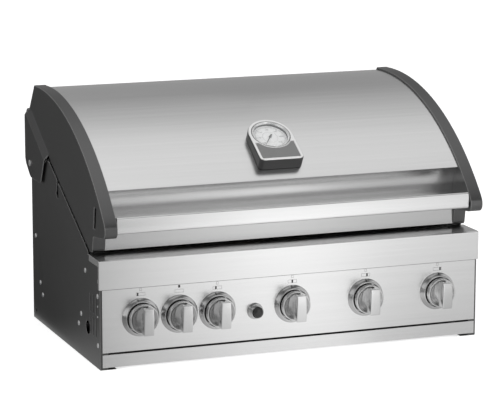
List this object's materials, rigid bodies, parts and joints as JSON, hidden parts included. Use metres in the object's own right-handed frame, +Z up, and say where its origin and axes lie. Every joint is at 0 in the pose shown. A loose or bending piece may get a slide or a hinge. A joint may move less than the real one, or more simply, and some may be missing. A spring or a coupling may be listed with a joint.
{
  "type": "built-in gas grill",
  "caption": "Built-in gas grill head: rounded hinged lid with bar handle and thermometer, a row of burner knobs, igniter button, firebox with grates and burners, and a pull-out drip tray.",
  "frame": {"origin": "centre of the bounding box at the underside of the feet", "axes": "+X to the right seen from the front, +Y to the back, +Z up"},
  "size_m": [0.8166, 0.548, 0.4935],
  "materials": {
    "brushed_stainless": "brushed",
    "black_powder_coat": "satin",
    "galvanised_sheet": "matt",
    "burner_steel": "satin",
    "enamelled_cast_iron": "matt",
    "chrome_plate": "polished",
    "valve_brass": "satin",
    "pipe_aluminium": "satin",
    "black_moulding": "matt",
    "black_gloss_moulding": "gloss",
    "ceramic": "matt",
    "dial_print": "satin",
    "needle_paint": "satin",
    "clear_glass": "clear"
  },
  "bodies": {
    "grill_body": {"left_side_panel": "black_powder_coat", "right_side_panel": "black_powder_coat", "side_screws": "burner_steel", "rear_panel": "galvanised_sheet", "front_ledge": "brushed_stainless", "control_panel": "brushed_stainless", "firebox_front_wall": "galvanised_sheet", "firebox_rear_wall": "galvanised_sheet", "firebox_side_walls": "galvanised_sheet", "flame_tamers": "burner_steel", "warming_rack": "chrome_plate", "rear_burner_housing": "galvanised_sheet", "rear_burner_tile": "ceramic", "rear_burner_pipe": "pipe_aluminium", "gas_manifold": "burner_steel", "gas_valves": "valve_brass", "knob_bezels": "chrome_plate", "igniter_bezel": "chrome_plate", "igniter_module": "black_moulding", "ignition_electrodes": "ceramic", "tray_runners": "galvanised_sheet", "hinge_pins": "burner_steel", "main_burner_1": "burner_steel", "main_burner_2": "burner_steel", "main_burner_3": "burner_steel", "main_burner_4": "burner_steel", "main_burner_5": "burner_steel", "left_cooking_grate": "enamelled_cast_iron", "centre_cooking_grate": "enamelled_cast_iron", "right_cooking_grate": "enamelled_cast_iron"},
    "lid": {"left_end_cap": "black_powder_coat", "right_end_cap": "black_powder_coat", "lid_skin": "brushed_stainless", "lid_front_panel": "brushed_stainless", "lid_back_panel": "galvanised_sheet", "lid_liner": "galvanised_sheet", "lid_handle": "brushed_stainless", "gauge_housing": "black_moulding", "gauge_plate": "chrome_plate", "gauge_ring": "chrome_plate", "gauge_dial": "dial_print", "gauge_lens": "clear_glass", "gauge_stem": "burner_steel"},
    "drip_tray_drawer": {"drip_tray": "galvanised_sheet", "tray_front": "brushed_stainless"},
    "thermometer_pointer": {"gauge_needle": "needle_paint"},
    "igniter_push": {"igniter_button": "black_gloss_moulding"},
    "spindle_1": {"valve_spindle_1": "valve_brass"},
    "knob_1": {"knob_1": "chrome_plate"},
    "spindle_2": {"valve_spindle_2": "valve_brass"},
    "knob_2": {"knob_2": "chrome_plate"},
    "spindle_3": {"valve_spindle_3": "valve_brass"},
    "knob_3": {"knob_3": "chrome_plate"},
    "spindle_4": {"valve_spindle_4": "valve_brass"},
    "knob_4": {"knob_4": "chrome_plate"},
    "spindle_5": {"valve_spindle_5": "valve_brass"},
    "knob_5": {"knob_5": "chrome_plate"},
    "spindle_6": {"valve_spindle_6": "valve_brass"},
    "knob_6": {"knob_6": "chrome_plate"}
  },
  "joints": [
    {"name": "lid_hinge", "type": "hinge", "parent": "grill_body", "child": "lid", "pos_m": [0, 0.235, 0.33], "axis": [-1, 0, 0], "range_deg": [0, 85]},
    {"name": "drip_tray_slide", "type": "slide", "parent": "grill_body", "child": "drip_tray_drawer", "axis": [0, -1, 0], "range_m": [0, 0.36]},
    {"name": "thermometer_pointer_turn", "type": "hinge", "parent": "lid", "child": "thermometer_pointer", "pos_m": [-0.007, -0.10865, 0.41655], "axis": [0, 0.4985, -0.8669], "range_deg": [0, 250], "stiffness_Nm_per_rad": 0.005},
    {"name": "igniter_button_push", "type": "slide", "parent": "grill_body", "child": "igniter_push", "axis": [0, 1, 0], "range_m": [0, 0.004], "stiffness_N_per_m": 900, "springref_m": -0.002},
    {"name": "valve_1_turn", "type": "hinge", "parent": "grill_body", "child": "spindle_1", "pos_m": [-0.3182, -0.219, 0.1], "axis": [0, -1, 0], "range_deg": [0, 180]},
    {"name": "knob_1_push", "type": "slide", "parent": "spindle_1", "child": "knob_1", "axis": [0, 1, 0], "range_m": [0, 0.003], "stiffness_N_per_m": 1500, "springref_m": -0.002},
    {"name": "valve_2_turn", "type": "hinge", "parent": "grill_body", "child": "spindle_2", "pos_m": [-0.23945, -0.219, 0.1], "axis": [0, -1, 0], "range_deg": [0, 180]},
    {"name": "knob_2_push", "type": "slide", "parent": "spindle_2", "child": "knob_2", "axis": [0, 1, 0], "range_m": [0, 0.003], "stiffness_N_per_m": 1500, "springref_m": -0.002},
    {"name": "valve_3_turn", "type": "hinge", "parent": "grill_body", "child": "spindle_3", "pos_m": [-0.1607, -0.219, 0.1], "axis": [0, -1, 0], "range_deg": [0, 180]},
    {"name": "knob_3_push", "type": "slide", "parent": "spindle_3", "child": "knob_3", "axis": [0, 1, 0], "range_m": [0, 0.003], "stiffness_N_per_m": 1500, "springref_m": -0.002},
    {"name": "valve_4_turn", "type": "hinge", "parent": "grill_body", "child": "spindle_4", "pos_m": [-0.0032, -0.219, 0.1], "axis": [0, -1, 0], "range_deg": [0, 180]},
    {"name": "knob_4_push", "type": "slide", "parent": "spindle_4", "child": "knob_4", "axis": [0, 1, 0], "range_m": [0, 0.003], "stiffness_N_per_m": 1500, "springref_m": -0.002},
    {"name": "valve_5_turn", "type": "hinge", "parent": "grill_body", "child": "spindle_5", "pos_m": [0.1543, -0.219, 0.1], "axis": [0, -1, 0], "range_deg": [0, 180]},
    {"name": "knob_5_push", "type": "slide", "parent": "spindle_5", "child": "knob_5", "axis": [0, 1, 0], "range_m": [0, 0.003], "stiffness_N_per_m": 1500, "springref_m": -0.002},
    {"name": "valve_6_turn", "type": "hinge", "parent": "grill_body", "child": "spindle_6", "pos_m": [0.3118, -0.219, 0.1], "axis": [0, -1, 0], "range_deg": [0, 180]},
    {"name": "knob_6_push", "type": "slide", "parent": "spindle_6", "child": "knob_6", "axis": [0, 1, 0], "range_m": [0, 0.003], "stiffness_N_per_m": 1500, "springref_m": -0.002}
  ]
}
